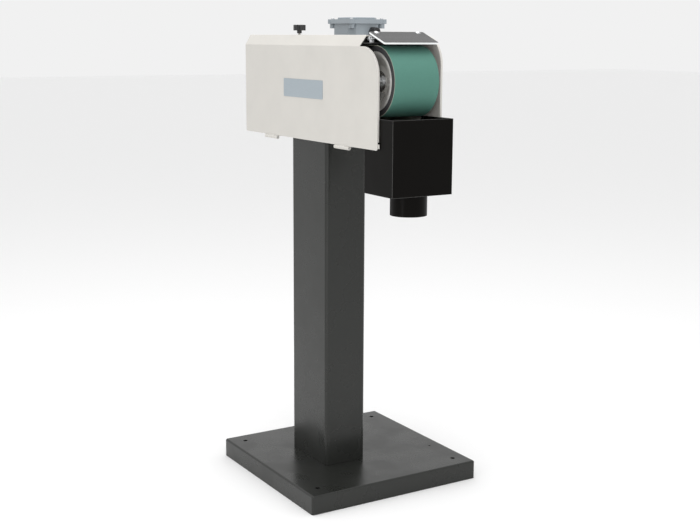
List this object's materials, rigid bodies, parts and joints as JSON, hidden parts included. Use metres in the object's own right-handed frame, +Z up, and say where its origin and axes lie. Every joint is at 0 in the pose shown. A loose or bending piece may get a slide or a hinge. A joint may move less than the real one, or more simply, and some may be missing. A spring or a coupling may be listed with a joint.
{
  "type": "belt grinder",
  "caption": "Pedestal belt grinder: a wide abrasive belt on a rubber contact wheel, hinged belt cover, tilting eye shield, spark box with extraction spigot, folded base.",
  "frame": {"origin": "centre of the base tray's underside, which is the centre of the floor-bolt pattern seen from above", "axes": "+Z up, +X along the head towards the operator's end, +Y from the hinged cover's side to the motor's side"},
  "size_m": [0.7135, 0.535, 1.191],
  "materials": {
    "stand_paint": "semi-gloss dark grey",
    "cover_paint": "semi-gloss warm off-white",
    "black_paint": "semi-gloss black",
    "motor_paint": "semi-gloss blue-grey",
    "cast_aluminium": "blue-grey cast",
    "wheel_aluminium": "turned and polished",
    "bright_steel": "turned",
    "zinc_steel": "zinc plated",
    "wheel_rubber": "matt",
    "abrasive": "green abrasive on cloth",
    "shield_glass": "tinted clear plastic",
    "black_plastic": "matt moulded",
    "light_plastic": "gloss moulded",
    "start_green": "gloss moulded",
    "stop_red": "gloss moulded",
    "badge_metal": "anodised grey",
    "stator_steel": "laminated core"
  },
  "bodies": {
    "frame": {"base_tray": "stand_paint", "base_channels": "stand_paint", "column": "stand_paint", "column_end_plates": "stand_paint", "back_plate": "cover_paint", "head_floor": "cover_paint", "head_wrap": "cover_paint", "hinge_rail": "cover_paint", "hinge_leaves": "cover_paint", "hinge_pins": "zinc_steel", "contact_wheel_axle": "bright_steel", "axle_spacers": "bright_steel", "axle_block": "motor_paint", "abrasive_belt": "abrasive", "motor_end_shields": "motor_paint", "motor_frame": "motor_paint", "motor_stator": "stator_steel", "motor_bearings": "bright_steel", "fan_cowl": "motor_paint", "terminal_box": "cast_aluminium", "terminal_lid": "cast_aluminium", "cable_glands": "black_plastic", "arm_pivot": "bright_steel", "tension_spring": "bright_steel", "spark_plate": "black_paint", "shield_posts": "zinc_steel", "spark_box": "black_paint", "extraction_spigot": "black_paint", "switch_box": "black_plastic", "switch_lid": "light_plastic", "hex_bolts": "zinc_steel", "hex_nuts": "zinc_steel", "washers": "zinc_steel", "machine_screws": "zinc_steel"},
    "cover": {"side_cover": "cover_paint", "badge_plate": "badge_metal", "hinge_knuckles": "cover_paint"},
    "cover_knob": {"star_knob": "black_plastic", "knob_cap": "light_plastic"},
    "contact_wheel": {"contact_wheel_hub": "wheel_aluminium", "contact_wheel_tyre": "wheel_rubber", "contact_wheel_bearings": "bright_steel"},
    "drive": {"drive_wheel": "wheel_aluminium", "rotor_shaft": "bright_steel", "drive_key": "bright_steel", "drive_wheel_screw": "zinc_steel", "rotor_core": "stator_steel", "cooling_fan": "black_plastic"},
    "tension_arm": {"tension_arm": "zinc_steel", "roller_axle": "bright_steel", "release_handle": "black_plastic"},
    "tension_roller": {"tension_roller": "wheel_aluminium", "roller_bearings": "bright_steel"},
    "tracking_knob": {"tracking_knob": "black_plastic"},
    "eye_shield": {"eye_shield": "shield_glass", "shield_carrier": "black_paint", "shield_rod": "zinc_steel", "shield_bolts": "zinc_steel"},
    "start_button": {"start_button": "start_green"},
    "stop_button": {"stop_button": "stop_red"}
  },
  "joints": [
    {"name": "cover_hinge", "type": "hinge", "parent": "frame", "child": "cover", "pos_m": [0.0205, -0.1377, 0.8832], "axis": [1, 0, 0], "range_deg": [0, 160]},
    {"name": "cover_knob_turn", "type": "hinge", "parent": "frame", "child": "cover_knob", "pos_m": [-0.062, -0.108, 1.15], "axis": [0, 0, 1], "range_deg": [0, 1080]},
    {"name": "drive_spin", "type": "hinge", "parent": "frame", "child": "drive", "pos_m": [-0.19132, 0.06, 1.04], "axis": [0, 1, 0], "continuous": true},
    {"name": "contact_wheel_spin", "type": "hinge", "parent": "frame", "child": "contact_wheel", "pos_m": [0.305, -0.0545, 1.04], "axis": [0, 1, 0], "continuous": true},
    {"name": "tension_arm_pivot", "type": "hinge", "parent": "frame", "child": "tension_arm", "pos_m": [0.095, 0.012, 1.046], "axis": [0, -1, 0], "range_deg": [0, 12], "stiffness_Nm_per_rad": 6, "springref_deg": -22.92, "deforming": ["tension_spring"]},
    {"name": "tension_roller_spin", "type": "hinge", "parent": "tension_arm", "child": "tension_roller", "pos_m": [0.02, -0.055, 1.0937], "axis": [0, 1, 0], "continuous": true},
    {"name": "tracking_knob_turn", "type": "hinge", "parent": "frame", "child": "tracking_knob", "pos_m": [0.268, 0.05, 1.04], "axis": [0, 1, 0], "range_deg": [-360, 360]},
    {"name": "eye_shield_tilt", "type": "hinge", "parent": "frame", "child": "eye_shield", "pos_m": [0.299, -0.0545, 1.137], "axis": [0, -1, 0], "range_deg": [0, 75]},
    {"name": "start_press", "type": "slide", "parent": "frame", "child": "start_button", "axis": [0, -1, 0], "range_m": [0, 0.004], "stiffness_N_per_m": 500},
    {"name": "stop_press", "type": "slide", "parent": "frame", "child": "stop_button", "axis": [0, -1, 0], "range_m": [0, 0.005], "stiffness_N_per_m": 500}
  ],
  "couplings": [
    {"joint": "contact_wheel_spin", "follows": "drive_spin", "ratio": 1},
    {"joint": "tension_roller_spin", "follows": "drive_spin", "ratio": 3.2}
  ]
}
